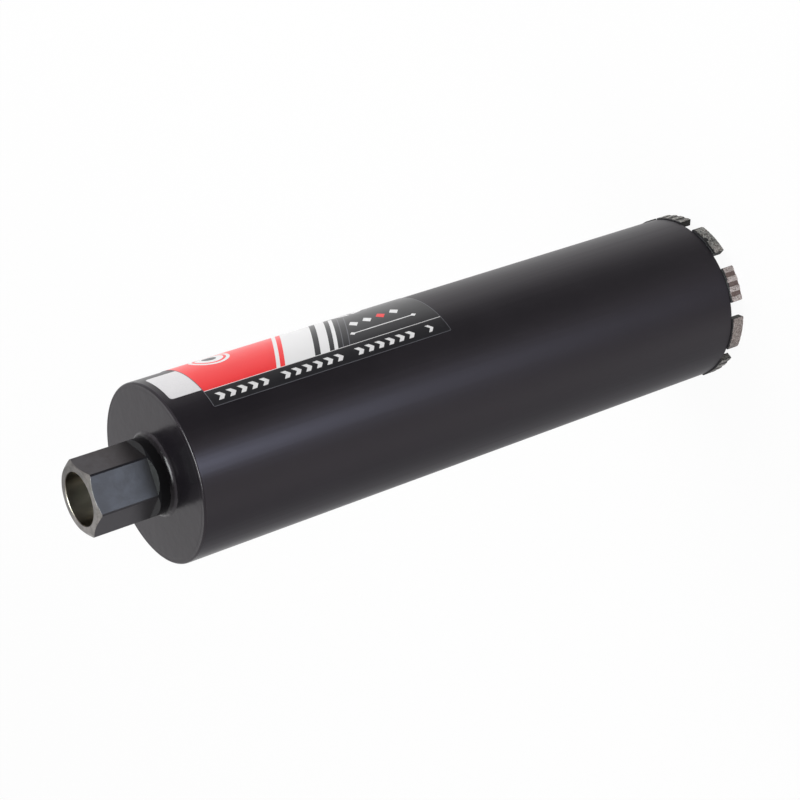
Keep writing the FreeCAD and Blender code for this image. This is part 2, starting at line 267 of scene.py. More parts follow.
class CoreBitFinish(bpy.types.PropertyGroup):
    """Colours of the finishes"""
    enamel: colour("Enamel", "#18161A", "Black baked enamel")
    enamel_worn: colour("Enamel, thin", "#1E1B20", "Enamel where the coat is thinner")
    # Painted shade: this darker enamel colour is laid on by the hub's weld
    enamel_weld_shade: colour("Enamel, dull", "#0D0C0E", "Enamel by the hub's weld")
    tube_steel: colour("Tube steel", "#6B645E", "Bare drawn steel inside the tube")
    tube_steel_brown: colour("Tube steel, brown", "#3B2F28", "Streaks in the bare steel")
    black_steel: colour("Blackened steel", "#3B3A3C", "Milled flats with their black oxide")
    black_steel_plum: colour("Plum oxide", "#3D3A3E", "Warmer oxide on the flats beside it")
    # Painted shade: the browner oxide darkens the flat toward the label
    black_steel_brown_shade: colour("Brown oxide", "#2A2326", "Browner oxide on one flat")
    # Painted shade: the ramps face upward and are given this dark colour
    ramp_steel_shade: colour("Ramp steel", "#151417", "Rough ramps at the lower ends of the flats")
    mill_scale: colour("Mill scale", "#26252A", "Lands between the flats")
    # Painted shade: the sprayed foot is given a darker colour than the barrel's enamel
    hub_spray_shade: colour("Sprayed foot", "#100F11", "Enamel on the foot of the hub")
    turned_steel: colour("Turned steel", "#8E8987", "Bare hub end")
    turned_steel_dull: colour("Turned steel, dull", "#6E6B69", "Stained part of the hub end")
    # Painted light and shade in the bore: the first colour is its light stripe and the second its dark
    # ground
    bore_steel: colour("Bore steel", "#BDB3A9", "Bore with a film of old oil")
    bore_steel_shade: colour("Bore steel, dull", "#3E3832", "Thicker film in the bore")
    sinter: colour("Sintered metal", "#C0B3AF", "Lands of the segments")
    sinter_grey: colour("Sintered metal, grey", "#9A9996", "Grey cast in the sintered metal")
    sinter_deep: colour("Groove metal", "#5E4B46", "Brown skin in the grooves and pores")
    sinter_deep_grey: colour("Groove metal, grey", "#3E3B3A", "Skin in the grooves of the grey segments")
    sinter_end: colour("Segment end", "#262522", "Skin on the ends of a segment")
    overspray: colour("Overspray", "#2C2B2D", "Flecks of enamel on the segments")
    grit: colour("Grit", "#D9D2CB", "Pale crystals")
    print_red: colour("Print red", "#EE1F24", "Red of the label")
    print_white: colour("Print white", "#E2E1E2", "White of the label")
    print_black: colour("Print black", "#1F1E22", "Black of the label")
    print_grey: colour("Print grey", "#5A5A60", "Grey lines of the label")
    paper: colour("Sticker paper", "#DBD9DB", "Small white sticker")


class CoreBitStage(bpy.types.PropertyGroup):
    """Camera and light"""
    focal_pixels: number("Focal length", 2133.84, "In pixels of the 800 pixel frame")
    distance: length("Distance", 1.2428, "From the camera to the middle of the plate face")
    tilt: angle("Tilt", 64.745, "Line of sight from the barrel axis")
    turn: angle("Turn", 3.3, "Camera round the barrel axis, from -Y")
    roll: angle("Roll", 108.673, "Turn of the picture")
    aim_x: number("Aim X", 154.124, "Pixel of the plate's middle")
    aim_y: number("Aim Y", 474.076, "Pixel of the plate's middle")
    surround: number("Surround", 0.62, "Level of the soft light all round")
    key_power: number("Key light", 17, "Power of the large soft key light", "POWER")
    fill_power: number("Fill light", 7, "Power of the soft fill light", "POWER")


def add_node(tree, kind, inputs=(), out=None, **settings):
    """Add a shader node with its settings, and give its first output in use or the one of a name.

    A kind may hold settings. Inputs are values or links, by name or in the order of those in use.
    """
    kind, shared = kind if isinstance(kind, tuple) else (kind, {})
    node = tree.nodes.new("ShaderNode" + kind)
    for name, setting in {**shared, **settings}.items():
        setattr(node, name, setting)
    if isinstance(inputs, dict):
        filled = [(node.inputs[name], given) for name, given in inputs.items()]
    else:
        filled = zip([socket for socket in node.inputs if socket.enabled], inputs)
    for socket, given in filled:
        if isinstance(given, bpy.types.NodeSocket):
            tree.links.new(given, socket)
        else:
            socket.default_value = (*given, 1) if socket.type == "RGBA" else given
    return next((socket for socket in node.outputs if socket.enabled and out in (None, socket.name)), None)


def clear_nodes(holder):
    """Empty the nodes of a material or world, and give the function that adds one to it."""
    holder.use_nodes = True
    holder.node_tree.nodes.clear()
    return partial(add_node, holder.node_tree)


def new_material(name):
    """Empty material, and the function that adds a node to it."""
    material = bpy.data.materials.new(name)
    return material, clear_nodes(material)


def millimetres(add):
    """Place on the object in millimetres."""
    return add("Mapping", {"Vector": add("TexCoord", out="Object"), "Scale": (1000, 1000, 1000)})


def polar(add):
    """Place on the object in millimetres, its part across the axis, its radius and its height."""
    place = millimetres(add)
    flat = add("VectorMath", [place, (1, 1, 0)], operation="MULTIPLY")
    return place, flat, add(LENGTH, [flat]), add("SeparateXYZ", [place], "Z")


def facing(add, flat, direction, *steps, kind="MapRange"):
    """Share that goes by how far a place lies toward a direction."""
    return add(kind, [add(ALONG, [flat, direction]), *steps])


def enamel_material(colours, barrel, hub):
    """Black stoving enamel on steel: satin, with a faint orange peel and an even depth of coat.

    Inside the tube the coat thins out to bare drawn steel, which the eye reads as rough and brown.
    """
    material, add = new_material("black_stoving_enamel")
    place, _, radius, height = polar(add)
    face = barrel.face / MM
    coat = add("TexNoise", [place, 1 / 35, 3])
    black = add(MIX, [coat, colours.enamel, colours.enamel_worn])
    # Overspray reaches some 30 mm up the inside, with a ragged edge
    ragged = add("TexNoise", [place, 1 / 9, 6])
    reach = add(TIMES_PLUS, [ragged, 55, height])
    bare = add(SMOOTH, [reach, 52, 78, 0, 1])
    inside = add(BELOW, [radius, (barrel.radius - barrel.wall) / MM + 0.4])
    below = add(BELOW, [height, barrel.plate_back / MM - 0.1])
    bare = add(TIMES, [bare, add(TIMES, [inside, below])])
    drawn = add("Mapping", {"Vector": place, "Scale": (1.2, 1.2, 0.03)})
    streaks = add("TexNoise", [drawn, 1, 5])
    steel = add(MIX, [streaks, colours.tube_steel, colours.tube_steel_brown])
    base = add(MIX, [bare, black, steel])
    # The hub end was coated last and came out glossier than the barrel
    satin = add(TIMES_PLUS, [coat, 0.06, add("MapRange", [height, face - 170, face, 0.36, 0.27])])
    hub_end = add("MapRange", [height, face - 1.6, face - 0.6, 0, 1])
    rough = add("Mix", [bare, add("Mix", [hub_end, satin, 0.21]), 0.55])
    # Orange peel of a sprayed coat, about 1.5 mm from dimple to dimple
    peel = add("TexNoise", [place, 1 / 1.5, 1])
    peel = add("Bump", {"Strength": 0.12, "Distance": 0.03 * MM, "Height": peel})
    # Drawing lines of the tube under the coat, some 5 mm wide and very shallow, streak the reflections
    drawn = add("Mapping", {"Vector": place, "Scale": (1, 1, 0.02)})
    drawn = add("TexNoise", [drawn, 1 / 5, 2])
    peel = add("Bump", {"Strength": 0.9, "Distance": 0.12 * MM, "Height": drawn, "Normal": peel})
    mirror = add("MapRange", [hub_end, 0, 1, 0.37, 0.29])
    # The coat is thin and dull on the weld and close to it, and its colour there is darkened, which is
    # painted shade
    bar = hub.bar_radius / MM
    by_weld = add(TIMES, [add("MapRange", [radius, bar + 0.9, bar + 1.5, 1, 0]), hub_end])
    mirror = add("Mix", [by_weld, mirror, 0.16])
    base = add(MIX, [by_weld, base, colours.enamel_weld_shade])
    shader = add("BsdfPrincipled", {"Base Color": base, "Roughness": rough, "Metallic": bare, "Normal": peel,
                                    "Specular IOR Level": mirror, "Specular Tint": (1, 0.9, 0.99)})
    add("OutputMaterial", [shader])
    return material


def hub_steel_material(colours, barrel, hub):
    """Carbon steel bar: black oxide on the milled flats, bare turned metal at the end and in the bore.

    The flats read as smoky grey metal, the end as pale steel with fine turning rings,
    and the foot is black where the barrel's enamel was sprayed over it.
    """
    material, add = new_material("blackened_and_turned_steel")
    place, flat, radius, height = polar(add)
    face = barrel.face / MM
    end = hub.end / MM
    flat_at = hub.across_flats / MM / 2
    cloud = add("TexNoise", [place, 1 / 7, 5, 0.6])
    fine = add("TexNoise", [place, 1 / 0.7, 3])
    # The flat that faces the label side is painted darker and browner in patches, as painted shade
    side = facing(add, flat, LABEL_FLAT, flat_at - 0.6, flat_at - 0.1, 0, 1)
    worn = add(MINUS, [cloud, add("MapRange", [height, face + 12, end - 4, 0.25, -0.1])])
    side = add(TIMES, [side, add(SMOOTH, [worn, 0.3, 0.65, 1, 0.3])])
    front = facing(add, flat, FRONT_FLAT, flat_at - 0.3, flat_at - 0.05, 0, 1)
    oxide = add(MIX, [front, colours.black_steel_plum, colours.black_steel])
    oxide = add(MIX, [side, oxide, colours.black_steel_brown_shade])
    shade = add("MapRange", [cloud, 0.3, 0.7, 0.88, 1.08])
    # Painted shade: the oxide is darkened toward the plate and its weld, but less so on the front flat
    plate_shade = add("MapRange", [height, face + 12, face + 28, 0.5, 1.02])
    plate_shade = add("Mix", [add(TIMES, [front, 0.5]), plate_shade, 1])
    oxide = add(TINT, [1, oxide, add(TIMES, [shade, plate_shade])])
    # Ramps at the lower ends of the flats face upward and are painted darker, as painted shade
    ramp = add(BELOW, [height, (barrel.face + hub.flats_start) / MM + 0.05])
    # Lands between the flats keep an edge of dark mill scale; it is painted darker toward the label and
    # lighter away from it, which is painted shade
    scale = add("MapRange", [add("SeparateXYZ", [place], "X"), -8, 8, 0.35, 0.9])
    land = add(TIMES, [add(ABOVE, [radius, hub.bar_radius / MM - 0.06]), scale])
    # Enamel that was sprayed over the foot ends in a soft edge below the flats; it is darker than the
    # barrel's enamel, which is painted shade
    edge = add(TIMES_PLUS, [fine, 1.2, height])
    sprayed = add(SMOOTH, [edge, face + 9.4, face + 9.9, 1, 0])
    for share, skin in ((ramp, colours.ramp_steel_shade), (land, colours.mill_scale),
                        (sprayed, colours.hub_spray_shade)):
        oxide = add(MIX, [share, oxide, skin])
    # Bare metal: everything above the cone of the chamfer, and the bore
    past_face = add(LARGER, [add(MINUS, [radius, hub.face_radius / MM]), 0])
    cone = add(TIMES_PLUS, [past_face, math.tan(hub.chamfer), height])
    end_face = add("MapRange", [cone, end - 0.16, end - 0.06, 0, 1])
    bore = add(BELOW, [radius, hub.mouth_radius / MM + 0.25])
    bare = add(LARGER, [end_face, bore])
    # Painted light and shade in the bore: a broad light stripe opposite the first segment on a dark ground,
    # fading toward the mouth
    outward = add("VectorMath", [flat], operation="NORMALIZE")
    lit_stripe = facing(add, outward, BORE_LIGHT_STRIPE, 0.55, 0.98, 0, 1, kind=SMOOTH)
    deep = add("MapRange", [height, end - 13, end, 1, 0.55])
    film = add(MIX, [add(TIMES, [lit_stripe, deep]), colours.bore_steel_shade, colours.bore_steel])
    stain = add("MapRange", [cloud, 0.35, 0.65, 0, 1])
    metal = add(MIX, [stain, colours.turned_steel, colours.turned_steel_dull])
    pale = add("MapRange", [fine, 0.3, 0.7, 0.84, 1.06])
    # Painted shade: the turned end is darker on the side toward the label, standing in for the sectors of
    # light that turning rings spread
    sector_shade = facing(add, outward, SHADED_SECTOR, 0, 0.9, 1, 0.55)
    for tone in (pale, sector_shade):
        metal = add(TINT, [1, metal, tone])
    base = add(MIX, [bare, oxide, add(MIX, [bore, metal, film])])
    # Oxide is only partly metal to the eye, and the sprayed foot isn't at all
    oxidised = add(TIMES, [add(MINUS, [1, sprayed]), 0.6])
    rough = add("Mix", [sprayed, add("MapRange", [cloud, 0.3, 0.7, 0.3, 0.4]), 0.3])
    mirror = add("MapRange", [sprayed, 0, 1, 0.5, 0.15])
    # Turning rings some 0.25 mm apart on the end
    rings = add("TexNoise", [add("CombineXYZ", [radius, 0, height]), 1 / 0.25, 2])
    relief = add(TIMES_PLUS, [fine, 0.4, add(TIMES, [rings, end_face])])
    bump = add("Bump", {"Strength": 0.25, "Distance": 0.012 * MM, "Height": relief})
    shader = add("BsdfPrincipled", {"Base Color": base, "Roughness": rough, "Normal": bump,
                                    "Metallic": add(LARGER, [oxidised, bare]), "Specular IOR Level": mirror})
    add("OutputMaterial", [shader])
    return material


def sinter_material(colours, barrel, crown):
    """Hot-pressed metal powder with diamond grit: matte, open-grained, pinkish grey.

    The grooves keep a brown skin, and the barrel's enamel laps over the foot in a ragged line.
    """
    material, add = new_material("sintered_grit_metal")
    place, flat, radius, height = polar(add)
    wide = add("TexNoise", [place, 1 / 14, 3])
    patch = add("TexNoise", [place, 1 / 1.6, 4, 0.65])
    # Grey cast all round but for the side of the first and last segments, which stayed pinkish
    outward = add("VectorMath", [flat], operation="NORMALIZE")
    cast = add(TIMES_PLUS, [wide, 0.5, add(ALONG, [outward, PINK_SIDE])])
    cast = add("MapRange", [cast, 1, 1.14, 1, 0])
    metal = add(MIX, [cast, colours.sinter, colours.sinter_grey])
    shade = add("MapRange", [patch, 0.3, 0.7, 0.6, 1.15])
    # The last segment is a darker pink than the first
    last = facing(add, outward, LAST_SEGMENT, 0.94, 0.97, 1, 0.64)
    metal = add(TINT, [1, metal, add(TIMES, [shade, last])])
    # Flecks of overspray, thick on the grey segments and few on the pale ones
    fleck = add("TexNoise", [place, 1 / 2.4, 5, 0.7])
    fleck = add(TIMES_PLUS, [cast, 0.08, fleck])
    fleck = add("MapRange", [fleck, 0.6, 0.66, 0, 0.75])
    # Grit about 0.5 mm across, as coarse as it needs to show: pale crystals and dark pores
    grit = add("TexVoronoi", [place, 1 / 0.55], "Color")
    red, green, _ = add("SeparateColor", [grit]).node.outputs
    pores = add("MapRange", [red, 0.72, 0.8, 0, 0.7])
    bright = add("MapRange", [green, 0.86, 0.92, 0, 0.6])
    # Brown skin on a groove floor, whichever face has the grooves
    outer = (barrel.radius + crown.overhang) / MM
    inner = outer - crown.thickness / MM
    depth = crown.groove_depth / MM
    foot = (barrel.rim - crown.foot) / MM
    from_outer = add("Math", [radius, outer - depth - 0.05, 0.28], operation="COMPARE")
    from_inner = add("Math", [radius, inner + depth + 0.05, 0.28], operation="COMPARE")
    groove = add(LARGER, [from_outer, from_inner])
    groove = add(TIMES, [groove, add("MapRange", [height, foot - 0.1, foot + 0.1, 0.85, 0])])
    groove = add(TIMES, [groove, add(ABOVE, [height, 0.35])])
    skin = add(MIX, [cast, colours.sinter_deep, colours.sinter_deep_grey])
    # Dark skin on the two ends of a segment, which the grinding of the faces leaves
    x, y, _ = add("SeparateXYZ", [place]).node.outputs
    step = 2 * math.pi / crown.segments
    around = add("Math", [y, x], operation="ARCTAN2")
    around = add("Math", [around, math.pi / 2 + step / 2], operation="ADD")
    around = add(ABSOLUTE, [add(MINUS, [add(MODULO, [around, step]), step / 2])])
    half = crown.length / (barrel.radius + crown.overhang) / 2
    end = add("MapRange", [around, half - 0.007, half - 0.002, 0, 1])
    # It is thinner on the side that the label turns away from
    end = add(TIMES, [end, add("MapRange", [x, -44, -42.5, 0.5, 0.95])])
    for share, tone in ((fleck, colours.overspray), (pores, colours.sinter_deep), (bright, colours.grit),
                        (groove, skin), (end, colours.sinter_end)):
        metal = add(MIX, [share, metal, tone])
    # Enamel over the foot, its lower edge ragged; it reaches further down on the second segment
    top = barrel.rim / MM
    second = (math.cos(step - math.pi / 2), math.sin(step - math.pi / 2), 0)
    reach = facing(add, outward, second, 0.93, 0.97, 0, 1)
    line = add(TIMES_PLUS, [patch, 4, add(TIMES_PLUS, [wide, 2, height])])
    line = add("Math", [line, reach], operation="ADD")
    lapped = add(SMOOTH, [line, top + 1.95, top + 2.2, 0, 1])
    # Chip in the foot of the second segment, seen as a dark notch
    chip = (outer * second[0], outer * second[1], top - 2.7)
    away = add(TIMES_PLUS, [patch, 1.6, add("VectorMath", [place, chip], operation="DISTANCE")])
    lapped = add(LARGER, [lapped, add("MapRange", [away, 2.3, 2.6, 1, 0])])
    base = add(MIX, [lapped, metal, colours.enamel])
    relief = add(TIMES_PLUS, [red, -0.6, patch])
    bump = add("Bump", {"Strength": 0.5, "Distance": 0.08 * MM, "Height": relief})
    metallic, rough, mirror = (add("MapRange", [lapped, 0, 1, bare, coated])
                               for bare, coated in ((0.75, 0), (0.56, 0.42), (0.5, 0.25)))
    shader = add("BsdfPrincipled", {"Base Color": base, "Roughness": rough, "Metallic": metallic,
                                    "Normal": bump, "Specular IOR Level": mirror})
    add("OutputMaterial", [shader])
    return material


def print_material(colours, labels):
    """Printed vinyl foil with a glossy laminate: flat, saturated inks and a sharp sheen.

    The design is a plain one of slanted bands, rings and diamonds, with a scale along the upper edge.
    """
    material, add = new_material("laminated_print_foil")
    inks = {ink: getattr(colours, "print_" + ink) for ink in ("red", "white", "black", "grey")}
    long_side = labels.label_length / MM
    short_side = labels.label_width / MM
    sheet = add("Mapping", {"Vector": add("UVMap", uv_map="UVMap"), "Scale": (long_side, short_side, 1)})
    along, across, _ = add("SeparateXYZ", [sheet]).node.outputs
    # The colour ramp of the slanted bands is as long as the label, but starts before it by its lead.
    # At the top of the lower strip, where the bands are measured, the slant has set them back
    lead = 55
    setback = 7
    slant = add(TIMES_PLUS, [across, -0.55, along])
    slant = add(TIMES_PLUS, [slant, 1 / long_side, lead / long_side])
    art = add("ValToRGB", [slant])
    ramp = art.node.color_ramp
    ramp.interpolation = "CONSTANT"
    for start, ink in PRINT_BANDS:
        stop = ramp.elements.new((start + lead - setback) / long_side) if start else ramp.elements[0]
        stop.color = (*inks[ink], 1)
    ramp.elements.remove(ramp.elements[-1])
    for kind, middle, half, ink in PRINT_MARKS:
        local = add("VectorMath", [sheet, (*middle, 0)], operation="SUBTRACT")
        local = add("VectorMath", [local, (*half, 1)], operation="DIVIDE")
        local = add("VectorMath", [local], operation="ABSOLUTE")
        if kind == "disc":
            reach = add(LENGTH, [local])
        else:
            far, wide, _ = add("SeparateXYZ", [local]).node.outputs
            reach = add("Math", [far, wide], operation="ADD" if kind == "diamond" else "MAXIMUM")
        inside = add(BELOW, [reach, 1])
        art = add(MIX, [inside, art, inks[ink]])
    # Row of chevrons in the lower strip, pointing to the cutting end, with every seventh left out
    strip_middle = 6
    half_height = 2.7
    pitch = 7.5
    stroke = 3.4
    group = 7 * pitch
    off_middle = add(ABSOLUTE, [add(MINUS, [across, strip_middle])])
    swept = add(TIMES_PLUS, [off_middle, 0.9, along])
    marks = add(BELOW, [add(MODULO, [swept, pitch]), stroke])
    for limit in ((BELOW, off_middle, half_height), (BELOW, add(MODULO, [swept, group]), group - pitch),
                  (ABOVE, swept, pitch), (BELOW, swept, long_side - 10)):
        marks = add(TIMES, [marks, add(limit[0], limit[1:])])
    # Scale with a tick every 5 mm along the upper edge
    ticks = add(BELOW, [add(MODULO, [along, 5]), 0.5])
    for limit in ((ABOVE, across, short_side - 8.4), (BELOW, across, short_side - 3.2)):
        ticks = add(TIMES, [ticks, add(limit[0], limit[1:])])
    marks = add(LARGER, [marks, ticks])
    art = add(MIX, [marks, art, inks["white"]])
    # Cut edge of the pale foil shows as a thin line round the print
    cut_edge = 0.4
    from_middle = add("VectorMath", [sheet, (long_side / 2, short_side / 2, 0)], operation="SUBTRACT")
    from_middle = add("VectorMath", [from_middle], operation="ABSOLUTE")
    far, wide, _ = add("SeparateXYZ", [from_middle]).node.outputs
    rim = add(LARGER, [add(ABOVE, [far, long_side / 2 - cut_edge]),
                       add(ABOVE, [wide, short_side / 2 - cut_edge])])
    art = add(MIX, [rim, art, inks["grey"]])
    # The laminate is handled more in some places than in others
    handled = add("TexNoise", [millimetres(add), 1 / 9, 2])
    rough = add("MapRange", [handled, 0.3, 0.7, 0.29, 0.34])
    shader = add("BsdfPrincipled", {"Base Color": art, "Roughness": rough, "Specular IOR Level": 0.4,
                                    "Coat Weight": 0.2, "Coat Roughness": 0.3})
    add("OutputMaterial", [shader])
    return material


def paper_material(colours):
    """Coated paper: bright, nearly even white with soft gloss and a trace of fibre."""
    material, add = new_material("coated_sticker_paper")
    fibre = add("TexNoise", [millimetres(add), 1 / 0.8, 5])
    tone = add("MapRange", [fibre, 0.3, 0.7, 0.95, 1.02])
    base = add(TINT, [1, colours.paper, tone])
    bump = add("Bump", {"Strength": 0.1, "Distance": 0.02 * MM, "Height": fibre})
    add("OutputMaterial", [add("BsdfPrincipled", {"Base Color": base, "Roughness": 0.45, "Normal": bump})])
    return material


def deselect():
    bpy.ops.object.select_all(action="DESELECT")


def only(piece):
    """Make one object the selected and active one."""
    deselect()
    piece.select_set(True)
    bpy.context.view_layer.objects.active = piece


def named(name, scale=(1, 1, 1)):
    """Name and scale the object that was just added, and put its place into its mesh."""
    piece = bpy.context.object
    piece.name = name
    piece.data.name = name
    piece.scale = scale
    bpy.ops.object.transform_apply(location=True, rotation=True, scale=True)
    return piece


def turn_round(piece, turn):
    """Turn the active object round the axis of the part, and put the turn into its mesh."""
    piece.rotation_euler.z = turn
    bpy.ops.object.transform_apply(rotation=True)


def edit(piece):
    only(piece)
    bpy.ops.object.mode_set(mode="EDIT")
    bpy.ops.mesh.select_mode(type="FACE")


def leave_edit():
    bpy.ops.object.mode_set(mode="OBJECT")


def pick(piece, kind, wanted):
    """In edit mode, select the verts or edges whose middle passes a test, and nothing else."""
    bpy.ops.mesh.select_mode(type={"verts": "VERT", "edges": "EDGE"}[kind])
    bpy.ops.mesh.select_all(action="DESELECT")
    mesh = bmesh.from_edit_mesh(piece.data)
    found = 0
    for item in getattr(mesh, kind):
        corners = [item] if kind == "verts" else item.verts
        if wanted(sum((corner.co for corner in corners), Vector()) / len(corners)):
            item.select_set(True)
            found += 1
    bmesh.update_edit_mesh(piece.data)
    if not found:
        raise RuntimeError(f"{piece.name}: nothing was picked")


def tidy_normals():
    """In edit mode, close doubled seams and turn every face outwards."""
    bpy.ops.mesh.select_all(action="SELECT")
    bpy.ops.mesh.remove_doubles(threshold=DOUBLED)
    bpy.ops.mesh.normals_make_consistent(inside=False)


def modify(piece, kind, **settings):
    """Add a modifier, set it and apply it."""
    only(piece)
    modifier = piece.modifiers.new(kind.lower(), kind)
    for name, setting in settings.items():
        setattr(modifier, name, setting)
    bpy.ops.object.modifier_apply(modifier=modifier.name)


def turned(name, outline, steps):
    """Turn a piece from its outline of radii and heights, each ring drawn out of the last."""
    radius, height = outline[0]
    deselect()
    bpy.ops.mesh.primitive_circle_add(vertices=steps, radius=radius, location=(0, 0, height))
    piece = named(name)
    bpy.ops.object.mode_set(mode="EDIT")
    bpy.ops.mesh.select_mode(type="EDGE")
    bpy.ops.mesh.select_all(action="SELECT")
    for next_radius, next_height in outline[1:] + outline[:1]:
        bpy.ops.mesh.extrude_edges_move(TRANSFORM_OT_translate={"value": (0, 0, next_height - height)})
        share = next_radius / radius
        bpy.ops.transform.resize(value=(share, share, 1), center_override=(0, 0, next_height))
        radius, height = next_radius, next_height
    tidy_normals()
    leave_edit()
    return piece


def break_edges(piece, width, segments=2, sharper_than=40):
    modify(piece, "BEVEL", width=width, segments=segments, limit_method="ANGLE",
           angle_limit=math.radians(sharper_than), use_clamp_overlap=True)


def roughen(piece, name, grain, detail, depth):
    """Sink the surface by up to a depth in a pattern of clouds that stays fixed to the part."""
    clouds = bpy.data.textures.get(name) or bpy.data.textures.new(name, "CLOUDS")
    clouds.noise_scale = grain
    clouds.noise_depth = detail
    modify(piece, "DISPLACE", texture=clouds, texture_coords="GLOBAL", strength=-depth, mid_level=0)


def cut_away(piece, cutter):
    modify(piece, "BOOLEAN", object=cutter, operation="DIFFERENCE", solver="EXACT")


def discard(piece):
    mesh = piece.data
    bpy.data.objects.remove(piece)
    bpy.data.meshes.remove(mesh)


def finish(piece, material, slot, *nodes, smooth=38, even=True):
    """Shade a finished piece, give it its material and tie it to the part."""
    only(piece)
    if even:
        bpy.ops.object.shade_smooth_by_angle(angle=math.radians(smooth))
        modify(piece, "WEIGHTED_NORMAL", keep_sharp=True, weight=60)
    else:
        bpy.ops.object.shade_smooth()
    piece.data.materials.clear()
    piece.data.materials.append(material)
    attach(piece, "root")
    if nodes:
        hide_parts(*nodes)


class COREBIT_OT_stage(bpy.types.Operator):
    """Pale floor, soft light and the camera of the picture"""
    bl_idname = "core_bit.stage"
    bl_label = "Stage"

    def execute(self, context):
        stage = context.scene.core_bit_stage
        context.scene.view_settings.view_transform = "Standard"
        self.camera(context, stage)
        self.world(context, stage)
        self.floor()
        for name, settings in CARDS.items():
            self.card(name, *settings)
        self.lamp(context, "key_light", toward(12, 40), distance=1.7, size=1.5, power=stage.key_power)
        self.lamp(context, "fill_light", toward(195, 35), distance=2.2, size=1.6, power=stage.fill_power)
        return {"FINISHED"}

    def camera(self, context, stage):
        """Camera that puts the plate's middle on its pixel, with the roll of the picture."""
        back = Vector((math.sin(stage.turn) * math.sin(stage.tilt),
                       -math.cos(stage.turn) * math.sin(stage.tilt), math.cos(stage.tilt)))
        right = (-back).cross(Vector((0, 0, 1))).normalized()
        down = (-back).cross(right)
        cos_roll = math.cos(stage.roll)
        sin_roll = math.sin(stage.roll)
        basis = Matrix((cos_roll * right + sin_roll * down, cos_roll * down - sin_roll * right, -back))
        line = Vector(((stage.aim_x - IMAGE_SIDE / 2) / stage.focal_pixels,
                       (stage.aim_y - IMAGE_SIDE / 2) / stage.focal_pixels, 1)).normalized()
        rows = Vector((0, 0, 1)).rotation_difference(line).to_matrix() @ basis
        place = Vector((0, 0, context.scene.core_bit_barrel.face)) + back * stage.distance
        view = Matrix((rows[0], -rows[1], -rows[2])).transposed()
        data = bpy.data.cameras.new("picture_camera")
        data.sensor_width = SENSOR_WIDTH
        data.lens = stage.focal_pixels / IMAGE_SIDE * SENSOR_WIDTH
        data.clip_start = 0.05
        camera = bpy.data.objects.new("picture_camera", data)
        context.scene.collection.objects.link(camera)
        camera.matrix_world = Matrix.Translation(place) @ view.to_4x4()
        context.scene.camera = camera

    def backdrop_rays(self, add):
        """1 for the rays that show the backdrop: those of the camera, of gloss and of glass."""
        rays = add("LightPath").node.outputs
        seen = add(LARGER, [rays["Is Camera Ray"], rays["Is Glossy Ray"]])
        return add(LARGER, [seen, rays["Is Transmission Ray"]])

    def world(self, context, stage):
        world = bpy.data.worlds.new("soft_surround")
        context.scene.world = world
        add = clear_nodes(world)
        light = add("Background", [WHITE, stage.surround])
        backdrop = add("Background", [WHITE, 1])
        add("OutputWorld", [add("MixShader", [self.backdrop_rays(add), light, backdrop])])

    def floor(self):
        """White floor that keeps a faint shadow of the part."""
        deselect()
        bpy.ops.mesh.primitive_plane_add(size=40, location=(0, 0, -0.2 * MM))
        floor = named("floor")
        material, add = new_material("white_studio_floor")
        lit = add("BsdfPrincipled", {"Base Color": (0.9, 0.9, 0.9), "Roughness": 0.8})
        glow = add("Emission", [WHITE, 1])
        # Most of what the camera sees is the glow, and the lit rest lets the shadow show
        share = add(TIMES, [self.backdrop_rays(add), 0.94])
        add("OutputMaterial", [add("MixShader", [share, lit, glow])])
        floor.data.materials.append(material)
        floor.visible_glossy = False

    def card(self, name, azimuth, elevation, half_size, distance, code, strength):
        """Large card off camera that only shows in reflections; it fades into the white surround."""
        direction = toward(azimuth, elevation)
        deselect()
        bpy.ops.mesh.primitive_plane_add(size=2, location=direction * distance)
        card = bpy.context.object
        card.name = name
        card.scale = (*half_size, 1)
        card.rotation_euler = (-direction).to_track_quat("Z", "Y").to_euler()
        material, add = new_material(name)
        away = add(LENGTH, [add("TexCoord", out="Object")])
        fade = add(SMOOTH, [away, 0.35, 1, 0, 1])
        tone = add(MIX, [fade, [share * strength for share in from_hex(code)], WHITE])
        add("OutputMaterial", [add("Emission", [tone, 1])])
        card.data.materials.append(material)
        for ray in ("camera", "diffuse", "transmission", "volume_scatter", "shadow"):
            setattr(card, "visible_" + ray, False)

    def lamp(self, context, name, direction, distance, size, power):
        """Large soft lamp that faces the middle of the barrel."""
        data = bpy.data.lights.new(name, "AREA")
        data.shape = "SQUARE"
        data.size = size
        data.energy = power
        lamp = bpy.data.objects.new(name, data)
        context.scene.collection.objects.link(lamp)
        lamp.location = BARREL_MIDDLE + direction * distance
        lamp.rotation_euler = direction.to_track_quat("Z", "Y").to_euler()
        lamp.visible_glossy = False


